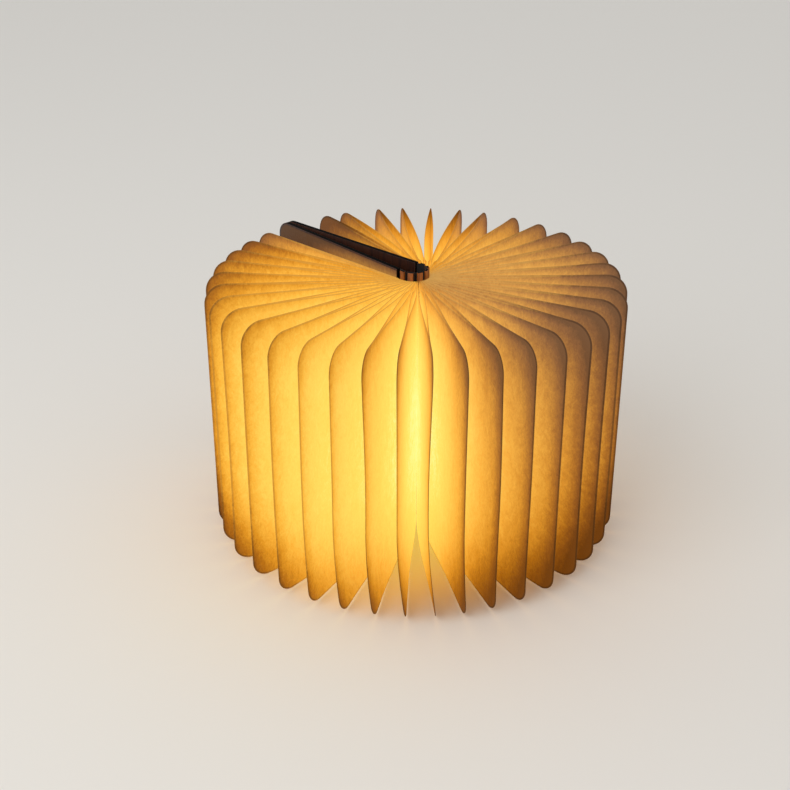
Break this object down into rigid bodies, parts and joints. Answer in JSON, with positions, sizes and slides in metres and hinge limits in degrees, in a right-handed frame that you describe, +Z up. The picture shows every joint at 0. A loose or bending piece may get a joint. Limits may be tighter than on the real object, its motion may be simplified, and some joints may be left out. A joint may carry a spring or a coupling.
{
  "type": "folding book lamp",
  "caption": "Book-shaped lamp opened all the way round: two wooden covers back to back, a rolled slatted spine and a full circle of glowing pleated pages.",
  "frame": {"origin": "bottom centre of the opened lamp's box, at the surface it stands on; the axis of the rolled spine stands a few millimetres from it", "axes": "+Z up along the spine, +X from the spine towards the page opposite the covers, +Y to the left of that page seen from above"},
  "size_m": [0.3208, 0.324, 0.215],
  "materials": {
    "page_paper": "matte white spun fibre, lit warm from inside",
    "walnut_slat": "oiled walnut",
    "walnut_cover": "walnut veneer, black edges",
    "liner_cloth": "black cloth tape",
    "magnet_metal": "nickel plated",
    "bar_plastic": "moulded black",
    "diffuser_plastic": "milky",
    "led_board": "white board",
    "battery_wrap": "shrink wrap",
    "circuit_board": "green board",
    "socket_steel": "bright plate"
  },
  "bodies": {
    "light_bar": {"bar_housing": "bar_plastic", "bar_diffuser": "diffuser_plastic", "bar_cap": "bar_plastic", "led_strip": "led_board", "battery": "battery_wrap", "charge_board": "circuit_board", "usb_socket": "socket_steel"},
    "cover_left": {"cover_left": "walnut_cover", "magnets_left": "magnet_metal"},
    "cover_right": {"cover_right": "walnut_cover", "magnets_right": "magnet_metal"},
    "spine_left_1": {"slat_left_1": "walnut_slat", "liner_left_1": "liner_cloth"},
    "spine_left_2": {"slat_left_2": "walnut_slat", "liner_left_2": "liner_cloth"},
    "spine_left_3": {"slat_left_3": "walnut_slat", "liner_left_3": "liner_cloth"},
    "spine_right_1": {"slat_right_1": "walnut_slat", "liner_right_1": "liner_cloth"},
    "spine_right_2": {"slat_right_2": "walnut_slat", "liner_right_2": "liner_cloth"},
    "spine_right_3": {"slat_right_3": "walnut_slat", "liner_right_3": "liner_cloth"},
    "page_01": {"page_01": "page_paper"},
    "page_02": {"page_02": "page_paper"},
    "page_03": {"page_03": "page_paper"},
    "page_04": {"page_04": "page_paper"},
    "page_05": {"page_05": "page_paper"},
    "page_06": {"page_06": "page_paper"},
    "page_07": {"page_07": "page_paper"},
    "page_08": {"page_08": "page_paper"},
    "page_09": {"page_09": "page_paper"},
    "page_10": {"page_10": "page_paper"},
    "page_11": {"page_11": "page_paper"},
    "page_12": {"page_12": "page_paper"},
    "page_13": {"page_13": "page_paper"},
    "page_14": {"page_14": "page_paper"},
    "page_15": {"page_15": "page_paper"},
    "page_16": {"page_16": "page_paper"},
    "page_17": {"page_17": "page_paper"},
    "page_18": {"page_18": "page_paper"},
    "page_19": {"page_19": "page_paper"},
    "page_20": {"page_20": "page_paper"},
    "page_21": {"page_21": "page_paper"},
    "page_22": {"page_22": "page_paper"},
    "page_23": {"page_23": "page_paper"},
    "page_24": {"page_24": "page_paper"},
    "page_25": {"page_25": "page_paper"},
    "page_26": {"page_26": "page_paper"},
    "page_27": {"page_27": "page_paper"},
    "page_28": {"page_28": "page_paper"},
    "page_29": {"page_29": "page_paper"},
    "page_30": {"page_30": "page_paper"},
    "page_31": {"page_31": "page_paper"},
    "page_32": {"page_32": "page_paper"},
    "page_33": {"page_33": "page_paper"},
    "page_34": {"page_34": "page_paper"},
    "page_35": {"page_35": "page_paper"},
    "page_36": {"page_36": "page_paper"},
    "page_37": {"page_37": "page_paper"}
  },
  "joints": [
    {"name": "cover_left_fold", "type": "hinge", "parent": "light_bar", "child": "cover_left", "pos_m": [0.00678, 0.0105, 0.1075], "axis": [0, 0, 1], "range_deg": [-182.98, 0]},
    {"name": "cover_right_fold", "type": "hinge", "parent": "light_bar", "child": "cover_right", "pos_m": [0.00678, -0.01084, 0.1075], "axis": [0, 0, 1], "range_deg": [0, 183]},
    {"name": "slat_left_1_fold", "type": "hinge", "parent": "light_bar", "child": "spine_left_1", "pos_m": [0.00618, 0.00146, 0.1075], "axis": [0, 0, 1], "range_deg": [-34.11, 0]},
    {"name": "slat_left_2_fold", "type": "hinge", "parent": "light_bar", "child": "spine_left_2", "pos_m": [0.00599, 0.00502, 0.1075], "axis": [0, 0, 1], "range_deg": [-102.3, 0]},
    {"name": "slat_left_3_fold", "type": "hinge", "parent": "light_bar", "child": "spine_left_3", "pos_m": [0.00548, 0.00977, 0.1075], "axis": [0, 0, 1], "range_deg": [-170.48, 0]},
    {"name": "slat_right_1_fold", "type": "hinge", "parent": "light_bar", "child": "spine_right_1", "pos_m": [0.00618, -0.00179, 0.1075], "axis": [0, 0, 1], "range_deg": [0, 34.11]},
    {"name": "slat_right_2_fold", "type": "hinge", "parent": "light_bar", "child": "spine_right_2", "pos_m": [0.00599, -0.00535, 0.1075], "axis": [0, 0, 1], "range_deg": [0, 102.3]},
    {"name": "slat_right_3_fold", "type": "hinge", "parent": "light_bar", "child": "spine_right_3", "pos_m": [0.00548, -0.01011, 0.1075], "axis": [0, 0, 1], "range_deg": [0, 170.48]},
    {"name": "page_01_fold", "type": "hinge", "parent": "light_bar", "child": "page_01", "pos_m": [0.00686, -0.0101, 0.1075], "axis": [0, 0, 1], "range_deg": [0, 174.71]},
    {"name": "page_02_fold", "type": "hinge", "parent": "light_bar", "child": "page_02", "pos_m": [0.00733, -0.00882, 0.1075], "axis": [0, 0, 1], "range_deg": [0, 165.31]},
    {"name": "page_03_fold", "type": "hinge", "parent": "light_bar", "child": "page_03", "pos_m": [0.00774, -0.00758, 0.1075], "axis": [0, 0, 1], "range_deg": [0, 155.9]},
    {"name": "page_04_fold", "type": "hinge", "parent": "light_bar", "child": "page_04", "pos_m": [0.00812, -0.00635, 0.1075], "axis": [0, 0, 1], "range_deg": [0, 146.42]},
    {"name": "page_05_fold", "type": "hinge", "parent": "light_bar", "child": "page_05", "pos_m": [0.00845, -0.0051, 0.1075], "axis": [0, 0, 1], "range_deg": [0, 136.81]},
    {"name": "page_06_fold", "type": "hinge", "parent": "light_bar", "child": "page_06", "pos_m": [0.00876, -0.00382, 0.1075], "axis": [0, 0, 1], "range_deg": [0, 126.98]},
    {"name": "page_07_fold", "type": "hinge", "parent": "light_bar", "child": "page_07", "pos_m": [0.00904, -0.00248, 0.1075], "axis": [0, 0, 1], "range_deg": [0, 116.83]},
    {"name": "page_08_fold", "type": "hinge", "parent": "light_bar", "child": "page_08", "pos_m": [0.00931, -0.00103, 0.1075], "axis": [0, 0, 1], "range_deg": [0, 106.4]},
    {"name": "page_09_fold", "type": "hinge", "parent": "light_bar", "child": "page_09", "pos_m": [0.00955, 0.00052, 0.1075], "axis": [0, 0, 1], "range_deg": [0, 95.87]},
    {"name": "page_10_fold", "type": "hinge", "parent": "light_bar", "child": "page_10", "pos_m": [0.00976, 0.0022, 0.1075], "axis": [0, 0, 1], "range_deg": [0, 85.61]},
    {"name": "page_11_fold", "type": "hinge", "parent": "light_bar", "child": "page_11", "pos_m": [0.00992, 0.00399, 0.1075], "axis": [0, 0, 1], "range_deg": [0, 75.95]},
    {"name": "page_12_fold", "type": "hinge", "parent": "light_bar", "child": "page_12", "pos_m": [0.01003, 0.00594, 0.1075], "axis": [0, 0, 1], "range_deg": [0, 66.99]},
    {"name": "page_13_fold", "type": "hinge", "parent": "light_bar", "child": "page_13", "pos_m": [0.01008, 0.00813, 0.1075], "axis": [0, 0, 1], "range_deg": [0, 58.55]},
    {"name": "page_14_fold", "type": "hinge", "parent": "light_bar", "child": "page_14", "pos_m": [0.01009, 0.01079, 0.1075], "axis": [0, 0, 1], "range_deg": [0, 50.25]},
    {"name": "page_15_fold", "type": "hinge", "parent": "light_bar", "child": "page_15", "pos_m": [0.01007, 0.01433, 0.1075], "axis": [0, 0, 1], "range_deg": [0, 41.77]},
    {"name": "page_16_fold", "type": "hinge", "parent": "light_bar", "child": "page_16", "pos_m": [0.01, 0.01959, 0.1075], "axis": [0, 0, 1], "range_deg": [0, 32.96]},
    {"name": "page_17_fold", "type": "hinge", "parent": "light_bar", "child": "page_17", "pos_m": [0.00985, 0.02861, 0.1075], "axis": [0, 0, 1], "range_deg": [0, 23.85]},
    {"name": "page_18_fold", "type": "hinge", "parent": "light_bar", "child": "page_18", "pos_m": [0.00948, 0.04876, 0.1075], "axis": [0, 0, 1], "range_deg": [0, 14.52]},
    {"name": "page_19_fold", "type": "hinge", "parent": "light_bar", "child": "page_19", "pos_m": [0.00764, 0.14305, 0.1075], "axis": [0, 0, 1], "range_deg": [0, 5.05]},
    {"name": "page_20_fold", "type": "hinge", "parent": "light_bar", "child": "page_20", "pos_m": [0.0136, -0.1597, 0.1075], "axis": [0, 0, 1], "range_deg": [-4.53, 0]},
    {"name": "page_21_fold", "type": "hinge", "parent": "light_bar", "child": "page_21", "pos_m": [0.01143, -0.0502, 0.1075], "axis": [0, 0, 1], "range_deg": [-14.14, 0]},
    {"name": "page_22_fold", "type": "hinge", "parent": "light_bar", "child": "page_22", "pos_m": [0.01097, -0.02876, 0.1075], "axis": [0, 0, 1], "range_deg": [-23.82, 0]},
    {"name": "page_23_fold", "type": "hinge", "parent": "light_bar", "child": "page_23", "pos_m": [0.01073, -0.01927, 0.1075], "axis": [0, 0, 1], "range_deg": [-33.56, 0]},
    {"name": "page_24_fold", "type": "hinge", "parent": "light_bar", "child": "page_24", "pos_m": [0.01056, -0.01372, 0.1075], "axis": [0, 0, 1], "range_deg": [-43.38, 0]},
    {"name": "page_25_fold", "type": "hinge", "parent": "light_bar", "child": "page_25", "pos_m": [0.01039, -0.00993, 0.1075], "axis": [0, 0, 1], "range_deg": [-53.28, 0]},
    {"name": "page_26_fold", "type": "hinge", "parent": "light_bar", "child": "page_26", "pos_m": [0.01023, -0.00709, 0.1075], "axis": [0, 0, 1], "range_deg": [-63.26, 0]},
    {"name": "page_27_fold", "type": "hinge", "parent": "light_bar", "child": "page_27", "pos_m": [0.01005, -0.00481, 0.1075], "axis": [0, 0, 1], "range_deg": [-73.3, 0]},
    {"name": "page_28_fold", "type": "hinge", "parent": "light_bar", "child": "page_28", "pos_m": [0.00986, -0.00287, 0.1075], "axis": [0, 0, 1], "range_deg": [-83.38, 0]},
    {"name": "page_29_fold", "type": "hinge", "parent": "light_bar", "child": "page_29", "pos_m": [0.00966, -0.00118, 0.1075], "axis": [0, 0, 1], "range_deg": [-93.48, 0]},
    {"name": "page_30_fold", "type": "hinge", "parent": "light_bar", "child": "page_30", "pos_m": [0.00943, 0.00035, 0.1075], "axis": [0, 0, 1], "range_deg": [-103.57, 0]},
    {"name": "page_31_fold", "type": "hinge", "parent": "light_bar", "child": "page_31", "pos_m": [0.00918, 0.00177, 0.1075], "axis": [0, 0, 1], "range_deg": [-113.59, 0]},
    {"name": "page_32_fold", "type": "hinge", "parent": "light_bar", "child": "page_32", "pos_m": [0.0089, 0.00311, 0.1075], "axis": [0, 0, 1], "range_deg": [-123.5, 0]},
    {"name": "page_33_fold", "type": "hinge", "parent": "light_bar", "child": "page_33", "pos_m": [0.0086, 0.00439, 0.1075], "axis": [0, 0, 1], "range_deg": [-133.28, 0]},
    {"name": "page_34_fold", "type": "hinge", "parent": "light_bar", "child": "page_34", "pos_m": [0.00827, 0.00564, 0.1075], "axis": [0, 0, 1], "range_deg": [-142.9, 0]},
    {"name": "page_35_fold", "type": "hinge", "parent": "light_bar", "child": "page_35", "pos_m": [0.00791, 0.00686, 0.1075], "axis": [0, 0, 1], "range_deg": [-152.33, 0]},
    {"name": "page_36_fold", "type": "hinge", "parent": "light_bar", "child": "page_36", "pos_m": [0.00751, 0.00808, 0.1075], "axis": [0, 0, 1], "range_deg": [-161.57, 0]},
    {"name": "page_37_fold", "type": "hinge", "parent": "light_bar", "child": "page_37", "pos_m": [0.00707, 0.00931, 0.1075], "axis": [0, 0, 1], "range_deg": [-170.64, 0]}
  ],
  "couplings": [
    {"joint": "cover_right_fold", "follows": "cover_left_fold", "ratio": -1},
    {"joint": "slat_left_1_fold", "follows": "cover_left_fold", "ratio": 0.18631},
    {"joint": "slat_left_2_fold", "follows": "cover_left_fold", "ratio": 0.55894},
    {"joint": "slat_left_3_fold", "follows": "cover_left_fold", "ratio": 0.93156},
    {"joint": "slat_right_1_fold", "follows": "cover_left_fold", "ratio": -0.18631},
    {"joint": "slat_right_2_fold", "follows": "cover_left_fold", "ratio": -0.55894},
    {"joint": "slat_right_3_fold", "follows": "cover_left_fold", "ratio": -0.93156},
    {"joint": "page_01_fold", "follows": "cover_left_fold", "ratio": -0.95468},
    {"joint": "page_02_fold", "follows": "cover_left_fold", "ratio": -0.90332},
    {"joint": "page_03_fold", "follows": "cover_left_fold", "ratio": -0.85185},
    {"joint": "page_04_fold", "follows": "cover_left_fold", "ratio": -0.80007},
    {"joint": "page_05_fold", "follows": "cover_left_fold", "ratio": -0.74758},
    {"joint": "page_06_fold", "follows": "cover_left_fold", "ratio": -0.69385},
    {"joint": "page_07_fold", "follows": "cover_left_fold", "ratio": -0.63839},
    {"joint": "page_08_fold", "follows": "cover_left_fold", "ratio": -0.58134},
    {"joint": "page_09_fold", "follows": "cover_left_fold", "ratio": -0.52381},
    {"joint": "page_10_fold", "follows": "cover_left_fold", "ratio": -0.46773},
    {"joint": "page_11_fold", "follows": "cover_left_fold", "ratio": -0.41494},
    {"joint": "page_12_fold", "follows": "cover_left_fold", "ratio": -0.36601},
    {"joint": "page_13_fold", "follows": "cover_left_fold", "ratio": -0.31987},
    {"joint": "page_14_fold", "follows": "cover_left_fold", "ratio": -0.27451},
    {"joint": "page_15_fold", "follows": "cover_left_fold", "ratio": -0.22817},
    {"joint": "page_16_fold", "follows": "cover_left_fold", "ratio": -0.18004},
    {"joint": "page_17_fold", "follows": "cover_left_fold", "ratio": -0.13022},
    {"joint": "page_18_fold", "follows": "cover_left_fold", "ratio": -0.079225},
    {"joint": "page_19_fold", "follows": "cover_left_fold", "ratio": -0.027505},
    {"joint": "page_20_fold", "follows": "cover_left_fold", "ratio": 0.024663},
    {"joint": "page_21_fold", "follows": "cover_left_fold", "ratio": 0.07718},
    {"joint": "page_22_fold", "follows": "cover_left_fold", "ratio": 0.13005},
    {"joint": "page_23_fold", "follows": "cover_left_fold", "ratio": 0.1833},
    {"joint": "page_24_fold", "follows": "cover_left_fold", "ratio": 0.23696},
    {"joint": "page_25_fold", "follows": "cover_left_fold", "ratio": 0.29107},
    {"joint": "page_26_fold", "follows": "cover_left_fold", "ratio": 0.34559},
    {"joint": "page_27_fold", "follows": "cover_left_fold", "ratio": 0.40046},
    {"joint": "page_28_fold", "follows": "cover_left_fold", "ratio": 0.45558},
    {"joint": "page_29_fold", "follows": "cover_left_fold", "ratio": 0.51078},
    {"joint": "page_30_fold", "follows": "cover_left_fold", "ratio": 0.56588},
    {"joint": "page_31_fold", "follows": "cover_left_fold", "ratio": 0.62064},
    {"joint": "page_32_fold", "follows": "cover_left_fold", "ratio": 0.67484},
    {"joint": "page_33_fold", "follows": "cover_left_fold", "ratio": 0.72829},
    {"joint": "page_34_fold", "follows": "cover_left_fold", "ratio": 0.78082},
    {"joint": "page_35_fold", "follows": "cover_left_fold", "ratio": 0.83235},
    {"joint": "page_36_fold", "follows": "cover_left_fold", "ratio": 0.88286},
    {"joint": "page_37_fold", "follows": "cover_left_fold", "ratio": 0.93242}
  ]
}
